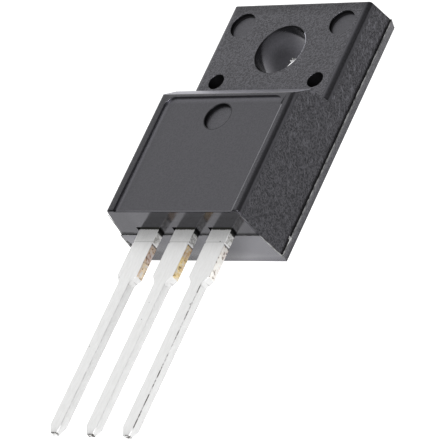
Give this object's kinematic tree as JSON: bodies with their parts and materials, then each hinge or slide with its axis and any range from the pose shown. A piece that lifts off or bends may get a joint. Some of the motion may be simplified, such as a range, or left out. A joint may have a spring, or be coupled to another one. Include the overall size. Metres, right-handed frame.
{
  "type": "power transistor",
  "caption": "Fully moulded power transistor: a black plastic body with a thinner screw tab and a row of flat tinned leads.",
  "frame": {"origin": "on the axis of the mounting hole, at the back face, which is the face that lies on a heat sink", "axes": "+X across the package, +Y towards the top of the tab with the leads pointing along -Y, +Z from the back face to the front face"},
  "size_m": [0.0102, 0.0291, 0.0047],
  "materials": {
    "moulding_compound": "spark-eroded matte, finely grained epoxy",
    "tinned_copper": "matte tin plate over copper, bare copper at the cut stubs",
    "solder": "dull solder",
    "silicon": "polished silicon with an aluminium top layer",
    "bond_wire": "drawn aluminium"
  },
  "bodies": {
    "root": {"housing": "moulding_compound", "collector_lead": "tinned_copper", "base_lead": "tinned_copper", "emitter_lead": "tinned_copper", "die_solder": "solder", "die": "silicon", "base_wire": "bond_wire", "emitter_wire": "bond_wire"}
  },
  "joints": []
}
